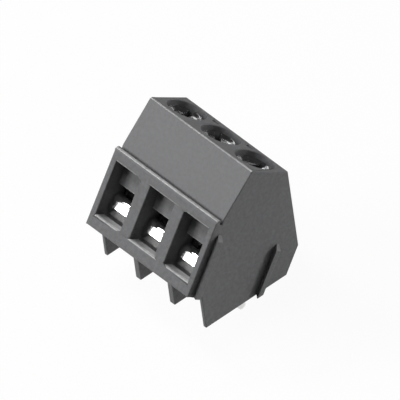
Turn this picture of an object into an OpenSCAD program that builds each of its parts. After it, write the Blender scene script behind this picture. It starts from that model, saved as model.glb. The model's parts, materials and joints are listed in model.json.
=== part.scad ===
// Three-pole screw terminal block for a circuit board, wires entering at a tilt.
// Millimetres. X runs along the row of poles, Y points to the block's back, Z is up.
// The board's surface is Z = 0 and the middle solder pin stands on X = Y = 0.
//
// Most features follow the tilt, so they are drawn in a tilted frame whose origin is the
// crest, the front edge of the top face. There t points back along the wires and e points
// up along the screws. A "drop" is a distance down from the crest along e.

/* [Block] */
// distance from one pole to the next
pitch = 5.08; // [5:0.01:5.16]
// slope of the wires' way in, in degrees from the board
tilt = 35; // [33:0.5:37]
// height of the crest above the board
crest_h = 15.41; // [15.2:0.05:15.8]
// distance of the crest behind the feet's front edges
crest_back = 7.98; // [7.8:0.02:8.1]
// height at which the back face turns in towards the board
back_turn = 2.71; // [2.2:0.05:3.2]
// distance of the pin row behind the feet's front edges
pin_back = 6.15; // [6:0.02:6.3]

/* [Entry face] */
// how far the entry face stands in front of the crest
face_out = 2.11; // [2:0.02:2.3]
// drop of the entry face's lower edge
face_drop = 13.84; // [13.7:0.02:14]
// drop of the ledge over the entries
ledge_drop = 5.4; // [5.3:0.02:5.6]
// depth of the ledge, from the entry face back to the sloping face
ledge_deep = 0.79; // [0.7:0.01:0.9]
// rounding of the ledge's front edge
ledge_r = 0.37; // [0.2:0.01:0.4]
// width of the slot for a marking strip at the back of the ledge
strip_w = 0.28; // [0.2:0.01:0.32]
// depth of that slot
strip_deep = 0.5; // [0.3:0.05:0.7]

/* [Wire entries] */
// width of a wire entry
entry_w = 3.62; // [3.4:0.02:3.7]
// drop of the top of the entries
entry_top = 6.69; // [6.5:0.01:6.9]
// drop of the floor of the entries
entry_floor = 12.47; // [12.4:0.01:12.6]
// depth of the entries in front of their aprons
entry_deep = 1.56; // [1.4:0.02:1.7]
// drop of the aprons' lower edges
apron_drop = 9.1; // [9:0.01:9.2]

/* [Feet] */
// thickness of the two feet between the poles
foot_t = 0.76; // [0.6:0.02:0.9]
// thickness of the two end feet
end_foot_t = 0.45; // [0.4:0.01:0.6]
// length of the feet in front of the block's underside
foot_deep = 1.65; // [1.3:0.05:1.9]

/* [Joining ribs and grooves] */
// how far the ribs stand out of the right-hand side
rib_out = 0.52; // [0.4:0.01:0.54]
// overhang of a rib's front flank
rib_flare = 0.27; // [0.1:0.01:0.3]
// width of the front rib's outer face
front_rib_w = 0.85; // [0.7:0.01:0.9]
// distance of the front rib behind the entry face
front_rib_set = 0.58; // [0.5:0.01:0.7]
// drop of the front rib's top
front_rib_drop = 7; // [6.7:0.05:7.5]
// width of the rear rib's outer face
rear_rib_w = 0.71; // [0.6:0.01:0.85]
// distance of the rear rib behind the crest
rear_rib_set = 7.23; // [7.1:0.01:7.3]
// drop of the rear rib's top
rear_rib_drop = 7.9; // [7.6:0.05:8.3]
// room around a neighbour's rib in the grooves of the left-hand side
groove_gap = 0.04; // [0.02:0.01:0.05]

/* [Screws] */
// distance of the screw axes behind the crest
screw_set = 2.8; // [2.76:0.01:2.84]
// diameter of the screw heads
head_d = 3.9; // [3.7:0.02:4]
// radial room around a head in its well in the top face
well_gap = 0.15; // [0.1:0.01:0.2]
// rim left between the wells and the back edge of the top face
well_rim = 0.2; // [0.15:0.01:0.3]
// height of the screw heads
head_h = 1.9; // [1.6:0.05:2]
// depth of the heads below the top face
head_sink = 0.45; // [0.4:0.05:0.6]
// diameter of the screws' threads
screw_d = 3; // [2.9:0.02:3.04]
// radial room between a screw's thread and its yoke
thread_gap = 0.05; // [0.02:0.01:0.06]
// width of the driver slots
slot_w = 0.6; // [0.5:0.02:0.8]
// depth of the driver slots
slot_deep = 0.9; // [0.6:0.05:1.1]
// turns of the three driver slots, in degrees
slot_turns = [20, 52, -8];

/* [Clamping yokes] */
// length of a yoke along the wire
yoke_l = 3.8; // [3.6:0.05:3.9]
// thickness of a yoke's side walls
yoke_side = 0.45; // [0.4:0.01:0.46]
// thickness of a yoke's floor
yoke_floor = 0.8; // [0.6:0.05:0.9]
// thickness of a yoke's threaded head
yoke_head = 1.4; // [1.2:0.02:1.5]
// clear height inside a yoke
yoke_space = 4.3; // [4.2:0.02:4.4]
// rounding of a yoke's long edges
yoke_r = 0.25; // [0.2:0.01:0.28]
// how far a yoke can still rise from where it is drawn
yoke_rise = 0.8; // [0.6:0.05:0.9]
// room beside a yoke in its shaft
yoke_gap = 0.06; // [0.05:0.01:0.08]
// distance from a yoke's front to the top of the guard that hangs there
guard_reach = 1.32; // [1.1:0.01:1.34]
// lean of the guard away from the wire, in degrees
guard_lean = 12; // [8:0.5:13]
// drop at which the guard bends, to lean back in as much below as it leans out above
guard_drop = 11.35; // [11.2:0.01:11.6]
// outer radius of that bend
guard_bend = 0.6; // [0.5:0.02:1]
// thickness of the guard
guard_t = 0.45; // [0.35:0.01:0.5]

/* [Contacts] */
// thickness of the contact strip
bar_t = 0.8; // [0.7:0.01:0.84]
// room beside the contact bar inside the yoke
bar_gap = 0.1; // [0.05:0.01:0.15]
// room between a yoke and the contact's riser behind it
riser_gap = 0.45; // [0.4:0.01:0.55]
// width of the strip just above the pin
shank_w = 1.2; // [1.1:0.02:1.5]
// diameter of a solder pin
pin_d = 1; // [0.9:0.02:1]
// length of a solder pin below the board's surface
pin_l = 3.2; // [3:0.05:3.6]
// length of the pin's tapered tip
pin_tip = 0.45; // [0.3:0.05:0.6]

/* [Hollows] */
// wall between a contact and the hollow behind it
core_front = 1.1; // [0.9:0.05:1.2]
// wall between the hollows and the sloping heel of the block
core_back = 1.1; // [0.9:0.05:1.3]
// half the wall between two neighbouring hollows
core_side = 0.6; // [0.5:0.05:0.8]
// width of the dimples between the wells
dimple_w = 0.9; // [0.7:0.05:1]
// length of the dimples, also their distance from the back edge of the top face
dimple_l = 0.4; // [0.3:0.05:0.45]
// depth of the dimples
dimple_deep = 0.6; // [0.4:0.05:0.8]

/* [Hidden] */
$fn = 48;
poles = 3;
block_w = poles * pitch;
front_y = -pin_back;
crest_y = crest_back - pin_back;
well_d = head_d + 2 * well_gap;
top_w = screw_set + well_d / 2 + well_rim;
back_y = crest_y + top_w * cos(tilt);
heel_y = back_y - back_turn * tan(tilt);
foot_back = front_y + foot_deep;
// small running gaps and overlaps of cuts
touch = 0.1;
gap = 0.15;
past = 1;
// the entry cavity, in the tilted frame
entry_back = entry_deep - face_out;
bar_under = apron_drop;
bar_top = bar_under - bar_t;
// the yoke as drawn, part-way up
yoke_front = screw_set - yoke_l / 2;
yoke_back = screw_set + yoke_l / 2;
yoke_in = screw_d + 2 * thread_gap;
yoke_w = yoke_in + 2 * yoke_side;
seat_drop = bar_under + yoke_rise + touch;
yoke_top = seat_drop - yoke_space - yoke_head;
guard_top_t = yoke_front - guard_reach;
// the middle of the guard's bend
bend_t = guard_top_t - (guard_drop - seat_drop) * tan(guard_lean) + guard_bend * cos(guard_lean);
bend_e = -guard_drop - guard_bend * sin(guard_lean);
guard_toe = entry_floor + 0.25;
guard_w = entry_w - 2 * touch;
// the shaft the yoke slides in
shaft_w = yoke_w + 2 * yoke_gap;
shaft_front = yoke_front - gap;
shaft_back = yoke_back + gap;
shaft_top = yoke_top - yoke_rise - gap;
sill_back = bend_t - guard_bend - 0.08;
well_deep = head_sink + head_h + gap;
riser_set = yoke_back + riser_gap + bar_t;
slot_back = pin_d / 2 + touch;
bar_w = yoke_in - 2 * bar_gap;

// a point of the tilted frame, as Y and Z
function lean(t, e) = [crest_y + t * cos(tilt) + e * sin(tilt), crest_h - t * sin(tilt) + e * cos(tilt)];

// where the line at t crosses the upright plane at y, as Y and Z
function meet_t(t, y) = lean(t, (y - crest_y - t * cos(tilt)) / sin(tilt));

// where the line at e crosses the upright plane at y, as Y and Z
function meet_e(e, y) = lean((y - crest_y - e * sin(tilt)) / cos(tilt), e);

// how far behind the crest the point y, z lies
function behind(y, z) = (y - crest_y) * cos(tilt) + (crest_h - z) * sin(tilt);

// the middle of pole i, counted from the left
function pole_x(i) = (i - (poles + 1) / 2) * pitch;

// a point of the guard's bend at radius r, where the sheet leans by a
function bend(r, a) = [bend_t - r * cos(a), bend_e + r * sin(a)];

// the point on a line through p that leans by a, where it crosses the height e
function along(p, a, e) = [p[0] + (e - p[1]) * tan(a), e];

// a side profile made w wide, centred on X = 0
module across(w) {
  rotate([90, 0, 90]) translate([0, 0, -w / 2]) linear_extrude(w) children();
}

// puts what is drawn with Y as t and Z as e into the block
module tilted() {
  translate([0, crest_y, crest_h]) rotate([-tilt, 0, 0]) children();
}

// the side view of the block without its feet
module block_profile() {
  r = ledge_r;
  polygon(concat(
    [
      [foot_back, 0],
      [heel_y, 0],
      [back_y, back_turn],
      lean(top_w, 0),
      lean(0, 0),
      lean(ledge_deep - face_out, -ledge_drop)
    ],
    [for (a = [90:15:180]) lean(r - face_out + r * cos(a), -ledge_drop - r + r * sin(a))],
    [
      lean(-face_out, -face_drop),
      meet_e(-face_drop, foot_back)
    ]
  ));
}

// a foot, x being its middle and w its thickness
module foot(x, w) {
  translate([x, 0, 0]) across(w) polygon([
    [front_y, 0],
    [foot_back + past, 0],
    meet_e(0.5 - face_drop, foot_back + past),
    meet_e(0.5 - face_drop, front_y)
  ]);
}

// the slot for a marking strip, where the sloping face starts
module strip_slot() {
  t = ledge_deep - face_out + touch / 2;
  tilted() translate([-block_w / 2 - past, t - strip_w, -ledge_drop - strip_deep])
    cube([block_w + 2 * past, strip_w, strip_deep + past / 2]);
}

// a joining rib, or the groove for one: half a dovetail seen along e, rooted on X = 0
module rib_section(w, room) {
  polygon([
    [-0.2, rib_flare - room],
    [0, rib_flare - room],
    [rib_out + room, -room],
    [rib_out + room, w + room],
    [-0.2, w + room]
  ]);
}

// a rib from e0 up to e1, sloping away to nothing at its top
module rib(w, t, e0, e1, room) {
  tilted() difference() {
    translate([0, t, e0]) linear_extrude(e1 - e0) rib_section(w, room);
    translate([0, t - past, e1]) rotate([0, 45, 0]) cube([rib_out + 2, w + 2 * past, 2]);
  }
}

// both ribs of one side, or both grooves, which run on below by the length over
module rib_pair(room, over) {
  rib(front_rib_w, front_rib_set - face_out, -face_drop - over, -front_rib_drop, room);
  difference() {
    rib(rear_rib_w, rear_rib_set, -crest_h - 3, -rear_rib_drop, room);
    translate([-2, -crest_h, -8 - over]) cube([5, 2 * crest_h, 8]);
  }
}

// wire entry, shaft, screw well and contact slot of one pole
module pole_cavity() {
  // the wire's way in, past the apron and over the sill, and the room of the guard
  across(entry_w) polygon([
    lean(-face_out - past, -entry_top),
    lean(entry_back, -entry_top),
    lean(entry_back, -apron_drop),
    lean(shaft_front + past / 2, -apron_drop),
    lean(shaft_front + past / 2, -crest_h - 5),
    lean(sill_back, -crest_h - 5),
    lean(sill_back, -entry_floor),
    lean(-face_out - past, -entry_floor)
  ]);
  // the shaft, open towards the board
  across(shaft_w) polygon([
    lean(shaft_front, -shaft_top),
    lean(shaft_back, -shaft_top),
    lean(shaft_back, -crest_h - 5),
    lean(shaft_front, -crest_h - 5)
  ]);
  // the well, and the hole for the thread in its floor
  tilted() translate([0, screw_set, -well_deep]) cylinder(d = well_d, h = well_deep + past);
  tilted() translate([0, screw_set, -shaft_top - touch])
    cylinder(d = screw_d + 2 * gap, h = shaft_top - well_deep + 2 * touch);
  // the slot of the contact, open towards the shaft and the board
  across(bar_w + touch) polygon([
    lean(shaft_back - touch, -bar_top),
    lean(riser_set, -bar_top),
    meet_t(riser_set, slot_back),
    [slot_back, -past],
    lean(shaft_back - touch, -crest_h - 5)
  ]);
}

// a hollow behind the pin, so that there is no thick lump of plastic
module core_pocket() {
  t0 = riser_set + core_front;
  t1 = behind(heel_y, 0) - core_back;
  y0 = slot_back + core_front;
  across(pitch - 2 * core_side) polygon([
    [y0, -past],
    meet_t(t0, y0),
    lean(t0, -bar_top),
    lean(t1, -bar_top),
    lean(t1, -crest_h)
  ]);
}

module housing() {
  color("#3c3d40") difference() {
    union() {
      across(block_w) block_profile();
      translate([block_w / 2, 0, 0]) rib_pair(0, 0);
      for (side = [-1, 1]) {
        foot(side * (block_w - end_foot_t) / 2, end_foot_t);
        foot(side * pitch / 2, foot_t);
      }
    }
    strip_slot();
    translate([-block_w / 2, 0, 0]) rib_pair(groove_gap, past);
    for (i = [1:poles]) {
      translate([pole_x(i), 0, 0]) pole_cavity();
      translate([pole_x(i), 0, 0]) core_pocket();
    }
    for (side = [-1, 1]) {
      tilted() translate([side * pitch / 2 - dimple_w / 2, top_w - 2 * dimple_l, -dimple_deep])
        cube([dimple_w, dimple_l, dimple_deep + past]);
    }
  }
}

// a strip bent out of one piece: bar under the screw, riser behind the yoke, shank and pin
module contact() {
  half = bar_t / 2;
  front = yoke_front + 0.3;
  bend_out = meet_t(riser_set, half);
  bend_in = meet_t(riser_set - bar_t, -half);
  color("#c9cbcc") {
    across(bar_w) polygon([
      lean(front, -bar_top),
      lean(riser_set, -bar_top),
      bend_out,
      bend_in,
      lean(riser_set - bar_t, -bar_under),
      lean(front, -bar_under)
    ]);
    across(shank_w) polygon([bend_out, [half, 0], [-half, 0], bend_in]);
    translate([0, 0, pin_tip - pin_l]) cylinder(d = pin_d, h = pin_l - pin_tip);
    translate([0, 0, -pin_l]) cylinder(d1 = pin_d * 0.4, d2 = pin_d, h = pin_tip);
  }
}

// slotted screw that turns in place, its tip bearing on the contact bar
module clamp_screw(turn) {
  tip = bar_top - 0.05;
  bevel = 0.2;
  color("#b9bcbf") tilted() translate([0, screw_set, 0]) difference() {
    union() {
      translate([0, 0, -head_sink - head_h]) cylinder(d = head_d, h = head_h - bevel);
      translate([0, 0, -head_sink - bevel]) cylinder(d1 = head_d, d2 = head_d - 2 * bevel, h = bevel);
      translate([0, 0, 2 * bevel - tip]) cylinder(d = screw_d, h = tip - 2 * bevel - head_sink - head_h / 2);
      translate([0, 0, -tip]) cylinder(d1 = screw_d * 0.7, d2 = screw_d, h = 2 * bevel);
    }
    // the shallow dish that leads a driver into the slot
    translate([0, 0, -head_sink - 1.5 * bevel])
      cylinder(d1 = head_d * 0.5, d2 = head_d - 4 * bevel, h = 1.5 * bevel + 0.01);
    rotate([0, 0, turn]) translate([-slot_w / 2, -head_d, -head_sink - slot_deep])
      cube([slot_w, 2 * head_d, slot_deep + past]);
  }
}

// the yoke seen along the wire, X across and Y as e, its lower face on Y = 0
module yoke_ring() {
  r = yoke_r;
  w = yoke_w / 2;
  h = yoke_floor + yoke_space + yoke_head;
  difference() {
    polygon(concat(
      [for (a = [180:15:270]) [r - w + r * cos(a), r + r * sin(a)]],
      [for (a = [270:15:360]) [w - r + r * cos(a), r + r * sin(a)]],
      [for (a = [0:15:90]) [w - r + r * cos(a), h - r + r * sin(a)]],
      [for (a = [90:15:180]) [r - w + r * cos(a), h - r + r * sin(a)]]
    ));
    translate([-yoke_in / 2, yoke_floor]) square([yoke_in, yoke_space]);
  }
}

// folded yoke that lifts the wire against the contact bar when its screw is tightened
module yoke() {
  under = seat_drop + yoke_floor;
  inner = guard_bend - guard_t;
  color("#d2d4d6") tilted() difference() {
    union() {
      translate([0, yoke_back, -under]) rotate([90, 0, 0]) linear_extrude(yoke_l) yoke_ring();
      // the guard, which keeps a wire from passing under the yoke
      across(guard_w) polygon(concat(
        [
          [guard_top_t, -seat_drop],
          [yoke_front + yoke_side, -seat_drop],
          [yoke_front + yoke_side, -under],
          along(bend(inner, guard_lean), guard_lean, -under)
        ],
        [bend(inner, guard_lean), bend(inner, -guard_lean)],
        [
          along(bend(inner, -guard_lean), -guard_lean, -guard_toe),
          along(bend(guard_bend, -guard_lean), -guard_lean, -guard_toe)
        ],
        [for (a = [-2:2]) bend(guard_bend, guard_lean * a / 2)]
      ));
    }
    translate([0, screw_set, -yoke_top - yoke_head - past])
      cylinder(d = screw_d + 2 * thread_gap, h = yoke_head + 2 * past);
  }
}

module contact_1() {
  translate([pole_x(1), 0, 0]) contact();
}

module contact_2() {
  translate([pole_x(2), 0, 0]) contact();
}

module contact_3() {
  translate([pole_x(3), 0, 0]) contact();
}

module screw_1() {
  translate([pole_x(1), 0, 0]) clamp_screw(slot_turns[0]);
}

module screw_2() {
  translate([pole_x(2), 0, 0]) clamp_screw(slot_turns[1]);
}

module screw_3() {
  translate([pole_x(3), 0, 0]) clamp_screw(slot_turns[2]);
}

module yoke_1() {
  translate([pole_x(1), 0, 0]) yoke();
}

module yoke_2() {
  translate([pole_x(2), 0, 0]) yoke();
}

module yoke_3() {
  translate([pole_x(3), 0, 0]) yoke();
}

housing();
contact_1();
contact_2();
contact_3();
screw_1();
screw_2();
screw_3();
yoke_1();
yoke_2();
yoke_3();
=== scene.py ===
import json
import math

import bmesh
import bpy
from mathutils import Matrix, Vector
from mathutils.bvhtree import BVHTree


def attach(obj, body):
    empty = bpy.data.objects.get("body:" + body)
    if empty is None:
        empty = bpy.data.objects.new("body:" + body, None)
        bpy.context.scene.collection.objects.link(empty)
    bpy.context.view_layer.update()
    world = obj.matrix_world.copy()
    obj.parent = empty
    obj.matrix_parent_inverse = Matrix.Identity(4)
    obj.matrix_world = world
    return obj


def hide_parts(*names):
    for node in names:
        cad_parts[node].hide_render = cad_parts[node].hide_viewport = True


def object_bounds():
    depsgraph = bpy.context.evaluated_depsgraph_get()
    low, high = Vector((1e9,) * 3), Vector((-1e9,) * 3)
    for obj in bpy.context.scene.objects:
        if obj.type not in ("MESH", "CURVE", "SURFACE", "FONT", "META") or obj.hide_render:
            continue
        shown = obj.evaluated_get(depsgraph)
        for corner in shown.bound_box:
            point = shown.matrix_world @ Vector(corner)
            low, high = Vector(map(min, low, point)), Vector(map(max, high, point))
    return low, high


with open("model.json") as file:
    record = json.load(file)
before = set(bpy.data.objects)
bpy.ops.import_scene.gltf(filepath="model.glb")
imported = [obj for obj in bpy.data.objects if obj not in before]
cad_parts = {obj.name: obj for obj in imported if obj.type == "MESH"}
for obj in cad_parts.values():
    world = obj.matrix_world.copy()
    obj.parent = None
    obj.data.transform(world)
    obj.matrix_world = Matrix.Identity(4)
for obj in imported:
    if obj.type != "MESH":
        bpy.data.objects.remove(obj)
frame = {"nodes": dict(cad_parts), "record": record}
cad_low, cad_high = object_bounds()
mm = 0.001


# Camera
# The photograph looks down on the entry side and the right-hand end, and shows
# no vanishing lines, so the view has no perspective.
photo_width, pixels_per_mm = 400, 10.358
aim_height, aim_right, aim_up = 7.7 * mm, 0.455 * mm, 0.135 * mm
camera_distance = 120 * mm
view_right = Vector((0.64472, 0.75734, -0.10383)).normalized()
view_back = Vector((0.60063, -0.41786, 0.68164)).normalized()
view_up = view_back.cross(view_right).normalized()
aim = Vector((0, 0, aim_height)) + view_right * aim_right + view_up * aim_up
lens = bpy.data.cameras.new("view")
lens.type = "ORTHO"
lens.ortho_scale = photo_width / pixels_per_mm * mm
lens.clip_start, lens.clip_end = 0.001, 2
camera = bpy.data.objects.new("view", lens)
bpy.context.scene.collection.objects.link(camera)
stand = Matrix((view_right, view_up, view_back)).transposed().to_4x4()
stand.translation = aim + view_back * camera_distance
camera.matrix_world = stand
bpy.context.scene.camera = camera


# Housing
# One block of dark grey glass-filled polyamide, moulded with a fine matt skin.
# The mould rounds its edges a little; the crest, sills, lintels and ledge lip carry a painted highlight,
# and the entries' floors painted light.
grain_low, grain_high = 0.3, 0.7


def new_material(name):
    material = bpy.data.materials.new(name)
    material.use_nodes = True
    nodes = material.node_tree.nodes
    return material, nodes, material.node_tree.links, nodes["Principled BSDF"]


def surface_grain_group():
    """Fine and coarse unevenness of a surface, for its colour, its roughness and its bump."""
    group = bpy.data.node_groups.new("surface_grain", "ShaderNodeTree")
    face = group.interface
    face.new_socket("Coarse Scale", in_out="INPUT", socket_type="NodeSocketFloat").default_value = 900
    face.new_socket("Fine Scale", in_out="INPUT", socket_type="NodeSocketFloat").default_value = 9000
    face.new_socket("Stretch", in_out="INPUT", socket_type="NodeSocketVector").default_value = (1, 1, 1)
    face.new_socket("Coarse", in_out="OUTPUT", socket_type="NodeSocketFloat")
    face.new_socket("Fine", in_out="OUTPUT", socket_type="NodeSocketFloat")
    nodes, links = group.nodes, group.links
    given, result = nodes.new("NodeGroupInput"), nodes.new("NodeGroupOutput")
    place = nodes.new("ShaderNodeTexCoord")
    stretch = nodes.new("ShaderNodeVectorMath")
    stretch.operation = "MULTIPLY"
    links.new(place.outputs["Object"], stretch.inputs[0])
    links.new(given.outputs["Stretch"], stretch.inputs[1])
    for name, detail in (("Coarse", 5), ("Fine", 3)):
        noise = nodes.new("ShaderNodeTexNoise")
        noise.inputs["Detail"].default_value = detail
        noise.inputs["Roughness"].default_value = 0.6
        links.new(stretch.outputs[0], noise.inputs["Vector"])
        links.new(given.outputs[name + " Scale"], noise.inputs["Scale"])
        links.new(noise.outputs["Fac"], result.inputs[name])
    return group


surface_grain = surface_grain_group()


def add_grain(nodes, coarse, fine, stretch=(1, 1, 1)):
    """Places the grain in a material: its coarse and its fine output."""
    grain = nodes.new("ShaderNodeGroup")
    grain.node_tree = surface_grain
    grain.inputs["Coarse Scale"].default_value = coarse
    grain.inputs["Fine Scale"].default_value = fine
    grain.inputs["Stretch"].default_value = stretch
    return grain.outputs["Coarse"], grain.outputs["Fine"]


def shades(nodes, links, grain, low, high):
    """Spreads the grain from one shade of a colour to another."""
    ramp = nodes.new("ShaderNodeValToRGB")
    first, last = ramp.color_ramp.elements
    first.position, last.position = grain_low, grain_high
    first.color, last.color = (*low, 1), (*high, 1)
    links.new(grain, ramp.inputs["Fac"])
    return ramp.outputs["Color"]


def between(nodes, links, grain, low, high):
    """Spreads the grain from one value to another."""
    spread = nodes.new("ShaderNodeMapRange")
    spread.inputs["From Min"].default_value, spread.inputs["From Max"].default_value = grain_low, grain_high
    spread.inputs["To Min"].default_value, spread.inputs["To Max"].default_value = low, high
    links.new(grain, spread.inputs["Value"])
    return spread.outputs["Result"]


def bumps(nodes, links, grain, shader, height, strength):
    """Raises the surface by the grain."""
    bump = nodes.new("ShaderNodeBump")
    bump.inputs["Distance"].default_value = height
    bump.inputs["Strength"].default_value = strength
    links.new(grain, bump.inputs["Height"])
    links.new(bump.outputs["Normal"], shader.inputs["Normal"])


def moulded_plastic():
    """Dark matt plastic, lighter where a painted highlight or painted light is laid on, and smoother too
    where that is strongest.
    """
    dark, light = (0.082, 0.083, 0.086), (0.13, 0.131, 0.135)
    # painted highlight colours, far lighter than the plastic, standing in for light on the rounded edges
    # and the entries' floors
    highlight_dark, highlight_light = (0.24, 0.24, 0.24), (0.42, 0.42, 0.42)
    material, nodes, links, shader = new_material("housing_plastic")
    coarse, fine = add_grain(nodes, 2600, 9000)
    # the attribute that marks where the painted highlight and painted light go
    painted_light = nodes.new("ShaderNodeAttribute")
    painted_light.attribute_name = "painted_light"
    colour = nodes.new("ShaderNodeMix")
    colour.data_type = "RGBA"
    links.new(painted_light.outputs["Fac"], colour.inputs["Factor"])
    links.new(shades(nodes, links, coarse, dark, light), colour.inputs["A"])
    links.new(shades(nodes, links, coarse, highlight_dark, highlight_light), colour.inputs["B"])
    links.new(colour.outputs["Result"], shader.inputs["Base Color"])
    # smoother still where the painted highlight is strongest
    highlight_smoothing = nodes.new("ShaderNodeMath")
    highlight_smoothing.operation = "POWER"
    highlight_smoothing.inputs[1].default_value = 4
    links.new(painted_light.outputs["Fac"], highlight_smoothing.inputs[0])
    gloss = nodes.new("ShaderNodeMix")
    links.new(highlight_smoothing.outputs[0], gloss.inputs["Factor"])
    links.new(between(nodes, links, coarse, 0.54, 0.64), gloss.inputs["A"])
    links.new(between(nodes, links, coarse, 0.3, 0.4), gloss.inputs["B"])
    links.new(gloss.outputs["Result"], shader.inputs["Roughness"])
    shader.inputs["Specular IOR Level"].default_value = 0.5
    bumps(nodes, links, fine, shader, 0.01 * mm, 0.5)
    return material


def node_copy(node):
    """The CAD node's shape as one joined mesh with its flat faces whole."""
    same_place, same_plane = 0.001 * mm, math.radians(0.3)
    shape = bmesh.new()
    shape.from_mesh(frame["nodes"][node].data)
    bmesh.ops.remove_doubles(shape, verts=shape.verts, dist=same_place)
    bmesh.ops.dissolve_limit(shape, angle_limit=same_plane, use_dissolve_boundaries=False,
                             verts=shape.verts, edges=shape.edges, delimit=set())
    bmesh.ops.connect_verts_concave(shape, faces=shape.faces[:])
    return shape


def round_edges(shape, width, segments, sharper=25, where=None):
    """Rounds the outward edges that bend by more than sharper degrees, and returns the new faces."""
    shortest = 0.2 * mm
    chosen = [edge for edge in shape.edges
              if edge.is_manifold and edge.calc_face_angle_signed(0) > math.radians(sharper)
              and edge.calc_length() > shortest and (where is None or where(edge))]
    made = bmesh.ops.bevel(shape, geom=chosen, offset=width, offset_type="OFFSET", segments=segments,
                           profile=0.5, affect="EDGES", clamp_overlap=False, material=-1)
    return set(made["faces"])


def steady_normals(mesh, smooth):
    """Gives each corner the normal of the largest faces round it, so that flat faces shade flat."""
    level = math.cos(smooth)
    around = [[] for vert in mesh.vertices]
    for face in mesh.polygons:
        for vert in face.vertices:
            around[vert].append((face.normal.copy(), face.area))
    normals = []
    for face in mesh.polygons:
        for vert in face.vertices:
            near = [normal * area for normal, area in around[vert] if normal.dot(face.normal) > level]
            normals.append(sum(near, Vector()).normalized())
    mesh.normals_split_custom_set(normals)


def finished(shape, name, material):
    """Makes the piece of the finished shape, smooth over bends of less than 37 degrees."""
    smooth = math.radians(37)
    mesh = bpy.data.meshes.new(name)
    shape.to_mesh(mesh)
    shape.free()
    mesh.polygons.foreach_set("use_smooth", [True] * len(mesh.polygons))
    mesh.set_sharp_from_angle(angle=smooth)
    steady_normals(mesh, smooth)
    mesh.materials.append(material)
    piece = bpy.data.objects.new(name, mesh)
    bpy.context.scene.collection.objects.link(piece)
    return piece


housing_plastic = moulded_plastic()
window_least, window_most = 3 * mm, 5 * mm
ledge_least, entry_end = 14 * mm, -5 * mm
edge_round, crest_round, sill_round = 0.1 * mm, 0.16 * mm, 0.3 * mm
# share of painted light on the entries' floors
floor_painted_light = 0.5
overshoot = 0.2 * mm


def long_edge(edge, sill):
    """The sills of the windows, or the crest and the lintels: the outer edges along the row."""
    middle = sum((face.normal for face in edge.link_faces), Vector()).normalized()
    length = edge.calc_length()
    window = window_least < length < window_most
    if sill:
        return window and middle.z > 0.9
    lintel = window and middle.y < -0.95 and middle.z > -0.3
    crest = length > window_most and middle.z > 0.9
    return lintel or crest


def painted_light_share(face):
    """How much painted light a face of the moulding takes: a painted highlight on the whole ledge lip,
    painted light over part of the entries' floors.
    """
    along = [vert.co.x for vert in face.verts]
    if face.normal.z > 0.9 and max(along) - min(along) > ledge_least:
        return 1
    floor = face.normal.z > 0.8 and face.normal.y > 0.5 and face.calc_center_median().y < entry_end
    return floor_painted_light if floor else 0


shape = node_copy("housing")
# faces marked for painted highlight and painted light
painted_light = shape.faces.layers.float.new("painted_light")
for face in shape.faces:
    face[painted_light] = painted_light_share(face)
# the sills, the crest and the lintels are rounded, and the middles of their roundings get a painted
# highlight
for sill, width, level in ((True, sill_round, 0.85), (False, crest_round, 0.93)):
    rounding = round_edges(shape, width, 6, sharper=60, where=lambda edge: long_edge(edge, sill))
    for face in rounding:
        face.normal_update()
        face[painted_light] = 1 if face.normal.z > level or face.normal.y < -0.97 else 0
round_edges(shape, edge_round, 3)
# the rounding overshoots at the front's lower corners, so what left the block goes back onto it
block = BVHTree.FromBMesh(node_copy("housing"))
for vert in shape.verts:
    nearest, _, _, gap = block.find_nearest(vert.co)
    if gap > overshoot:
        vert.co = nearest
housing = finished(shape, "moulded_housing", housing_plastic)
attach(housing, "block")
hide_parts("housing")


# Contacts
# Three strips of tinned copper alloy, each bent to a bar, a riser and a round pin.
# They are pushed into the block from below and held by the plastic around them.
def tinned_strip():
    dark, light = (0.6, 0.6, 0.59), (0.8, 0.8, 0.79)
    material, nodes, links, shader = new_material("contact_tin")
    coarse, fine = add_grain(nodes, 1500, 12000)
    links.new(shades(nodes, links, coarse, dark, light), shader.inputs["Base Color"])
    links.new(between(nodes, links, coarse, 0.22, 0.4), shader.inputs["Roughness"])
    shader.inputs["Metallic"].default_value = 1
    bumps(nodes, links, fine, shader, 0.004 * mm, 0.4)
    return material


contact_tin = tinned_strip()
strip_round = 0.05 * mm
for pole in (1, 2, 3):
    shape = node_copy("contact_%d" % pole)
    round_edges(shape, strip_round, 2)
    contact = finished(shape, "tinned_contact_%d" % pole, contact_tin)
    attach(contact, "block")
    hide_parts("contact_%d" % pole)


# Yokes
# Three frames folded from bright nickel-plated sheet, with a guard in front.
# Each hangs on the thread of its screw and rises when the screw is tightened.
def bright_sheet():
    dark, light = (0.74, 0.74, 0.73), (0.86, 0.86, 0.85)
    material, nodes, links, shader = new_material("yoke_steel")
    coarse, fine = add_grain(nodes, 2500, 14000, stretch=(1, 0.08, 0.08))
    links.new(shades(nodes, links, coarse, dark, light), shader.inputs["Base Color"])
    links.new(between(nodes, links, coarse, 0.1, 0.22), shader.inputs["Roughness"])
    shader.inputs["Metallic"].default_value = 1
    bumps(nodes, links, fine, shader, 0.004 * mm, 0.35)
    return material


def screw_turn(pole):
    """The joint on which a screw turns."""
    return next(joint for joint in frame["record"]["behaviour"]["joints"]
                if joint["name"] == "screw_turn_%d" % pole)


def row_frame():
    """World from the row's own frame: X along the poles, Y into the block, Z up along the screws."""
    turn = screw_turn(2)
    along, up = Vector((1, 0, 0)), Vector(turn["axis"])
    place = Matrix((along, up.cross(along), up)).transposed().to_4x4()
    place.translation = Vector(turn["pos_m"])
    return place


to_row = row_frame().inverted()
guard_top, guard_front = -10 * mm, -3.1 * mm
fold_round, sheet_round = 0.8 * mm, 0.02 * mm


def outer_fold(edge):
    """The corner over which the guard is folded down from the yoke's floor."""
    slack = 0.02 * mm
    ends = [to_row @ vert.co for vert in edge.verts]
    return all(abs(end.z - guard_top) < slack and end.y < guard_front for end in ends)


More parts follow.
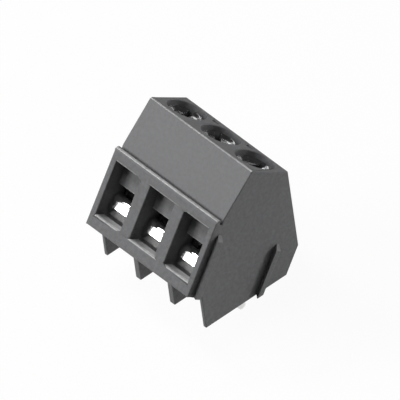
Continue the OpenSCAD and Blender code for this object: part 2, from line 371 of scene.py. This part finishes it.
yoke_steel = bright_sheet()
for pole in (1, 2, 3):
    shape = node_copy("yoke_%d" % pole)
    round_edges(shape, fold_round, 10, where=outer_fold)
    round_edges(shape, sheet_round, 2)
    yoke = finished(shape, "folded_yoke_%d" % pole, yoke_steel)
    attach(yoke, "yoke_%d" % pole)
    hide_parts("yoke_%d" % pole)


# Screws
# Three slotted clamping screws of zinc-plated steel, turned and then threaded.
# They turn in the wells of the housing and their tips press on the contacts.
def plated_screw():
    dark, light = (0.36, 0.36, 0.37), (0.48, 0.48, 0.49)
    material, nodes, links, shader = new_material("screw_steel")
    coarse, fine = add_grain(nodes, 2200, 12000)
    links.new(shades(nodes, links, coarse, dark, light), shader.inputs["Base Color"])
    links.new(between(nodes, links, coarse, 0.2, 0.28), shader.inputs["Roughness"])
    shader.inputs["Metallic"].default_value = 1
    bumps(nodes, links, fine, shader, 0.003 * mm, 0.25)
    return material


thread_pitch = 0.5 * mm
thread_top, thread_end = -2.35 * mm, -7.95 * mm
shaft_radius, root_radius = 1.5 * mm, 1.2 * mm
ridge_foot = root_radius - 0.05 * mm
ridge_rise, ridge_flat, ridge_fall = 0.42 * thread_pitch, 0.54 * thread_pitch, 0.96 * thread_pitch
thread_steps = 24
head_round = 0.05 * mm


def screw_place(pole):
    """The top face's middle over a screw, with local Z up along the screw."""
    turn = screw_turn(pole)
    place = Vector(turn["axis"]).to_track_quat("Z", "Y").to_matrix().to_4x4()
    place.translation = Vector(turn["pos_m"])
    return place


def cut_thread(shape, place):
    """Turns the plain shaft down to the thread's root and winds the ridge round it."""
    back = place.inverted()
    for vert in shape.verts:
        local = back @ vert.co
        if local.z < thread_top + 0.01 * mm and local.xy.length < shaft_radius + 0.05 * mm:
            slim = Vector((local.x, local.y)) * (root_radius / shaft_radius)
            vert.co = place @ Vector((slim.x, slim.y, local.z))
    turns = int((thread_top - thread_end) / thread_pitch)
    ridge = bmesh.new()
    points = [ridge.verts.new((radius, 0, thread_end + rise)) for radius, rise in (
        (ridge_foot, 0), (shaft_radius, ridge_rise), (shaft_radius, ridge_flat), (ridge_foot, ridge_fall))]
    edges = [ridge.edges.new(pair) for pair in zip(points, points[1:])]
    edges.append(ridge.edges.new((points[-1], points[0])))
    bmesh.ops.spin(ridge, geom=points + edges, cent=(0, 0, 0), axis=(0, 0, 1),
                   dvec=(0, 0, thread_pitch / thread_steps), angle=2 * math.pi * turns,
                   steps=thread_steps * turns, use_merge=False, use_duplicate=False)
    bmesh.ops.holes_fill(ridge, edges=ridge.edges, sides=4)
    bmesh.ops.recalc_face_normals(ridge, faces=ridge.faces)
    bmesh.ops.transform(ridge, matrix=place, verts=ridge.verts)
    wound = bpy.data.meshes.new("ridge")
    ridge.to_mesh(wound)
    ridge.free()
    shape.from_mesh(wound)
    bpy.data.meshes.remove(wound)


screw_steel = plated_screw()
for pole in (1, 2, 3):
    shape = node_copy("screw_%d" % pole)
    round_edges(shape, head_round, 2)
    cut_thread(shape, screw_place(pole))
    screw = finished(shape, "slotted_screw_%d" % pole, screw_steel)
    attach(screw, "screw_%d" % pole)
    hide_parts("screw_%d" % pole)


# Floor
# A plain white sheet at the tips of the pins, which keeps the part's soft shadow.
# It is clear from below, so that the underside can be looked at.
def white_sheet():
    paper, glow_share = (0.75, 0.75, 0.75, 1), 0.95
    material, nodes, links, shader = new_material("white_sheet")
    shader.inputs["Base Color"].default_value = paper
    shader.inputs["Roughness"].default_value = 0.9
    shader.inputs["Specular IOR Level"].default_value = 0.1
    glow = nodes.new("ShaderNodeEmission")
    glow.inputs["Color"].default_value = (1, 1, 1, 1)
    glow.inputs["Strength"].default_value = 1
    rays = nodes.new("ShaderNodeLightPath")
    seen = nodes.new("ShaderNodeMath")
    seen.operation = "MAXIMUM"
    links.new(rays.outputs["Is Camera Ray"], seen.inputs[0])
    links.new(rays.outputs["Is Glossy Ray"], seen.inputs[1])
    share = nodes.new("ShaderNodeMath")
    share.operation = "MULTIPLY"
    share.inputs[1].default_value = glow_share
    links.new(seen.outputs[0], share.inputs[0])
    mix = nodes.new("ShaderNodeMixShader")
    links.new(share.outputs[0], mix.inputs["Fac"])
    links.new(shader.outputs["BSDF"], mix.inputs[1])
    links.new(glow.outputs["Emission"], mix.inputs[2])
    clear = nodes.new("ShaderNodeBsdfTransparent")
    side = nodes.new("ShaderNodeNewGeometry")
    below = nodes.new("ShaderNodeMixShader")
    links.new(side.outputs["Backfacing"], below.inputs["Fac"])
    links.new(mix.outputs["Shader"], below.inputs[1])
    links.new(clear.outputs["BSDF"], below.inputs[2])
    links.new(below.outputs["Shader"], nodes["Material Output"].inputs["Surface"])
    return material


sheet_radius = 90 * mm
shape = bmesh.new()
bmesh.ops.create_circle(shape, cap_ends=True, radius=sheet_radius, segments=64,
                        matrix=Matrix.Translation((0, 0, cad_low.z)))
floor = finished(shape, "floor", white_sheet())


# Light
# Soft white studio light: a broad lamp over the left front, one above, and small
# ones for the crest, for the back and for the right-hand end, in a faint surround.
lamp_aim, lamp_distance = Vector((0, 0, 8 * mm)), 300 * mm


def soft_light(name, direction, width, height, power):
    """A lamp of that size in metres and power in watts, turned to the part from that direction."""
    data = bpy.data.lights.new(name, "AREA")
    data.shape = "ELLIPSE"
    data.size, data.size_y = width, height
    data.energy = power
    light = bpy.data.objects.new(name, data)
    bpy.context.scene.collection.objects.link(light)
    towards = Vector(direction).normalized()
    light.location = lamp_aim + towards * lamp_distance
    light.rotation_mode = "QUATERNION"
    light.rotation_quaternion = towards.to_track_quat("Z", "Y")


soft_light("front_light", (-0.56, -0.65, 0.52), 0.15, 0.15, 0.68)
soft_light("top_light", (-0.08, -0.16, 0.98), 0.1, 0.1, 0.33)
soft_light("edge_light", (-0.58, -0.15, 0.8), 0.05, 0.05, 0.26)
soft_light("back_light", (-0.69, 0.72, 0.04), 0.12, 0.05, 0.044)
soft_light("side_light", (0.5, 0.8, -0.02), 0.05, 0.05, 0.54)

surround_level = 0.04
world = bpy.data.worlds.new("surround")
bpy.context.scene.world = world
world.use_nodes = True
nodes, links = world.node_tree.nodes, world.node_tree.links
air = nodes["Background"]
air.inputs["Color"].default_value = (1, 1, 1, 1)
air.inputs["Strength"].default_value = surround_level
white = nodes.new("ShaderNodeBackground")
white.inputs["Color"].default_value = (1, 1, 1, 1)
white.inputs["Strength"].default_value = 1
rays = nodes.new("ShaderNodeLightPath")
mix = nodes.new("ShaderNodeMixShader")
links.new(rays.outputs["Is Camera Ray"], mix.inputs["Fac"])
links.new(air.outputs["Background"], mix.inputs[1])
links.new(white.outputs["Background"], mix.inputs[2])
links.new(mix.outputs["Shader"], nodes["World Output"].inputs["Surface"])
bpy.context.scene.view_settings.view_transform = "Standard"
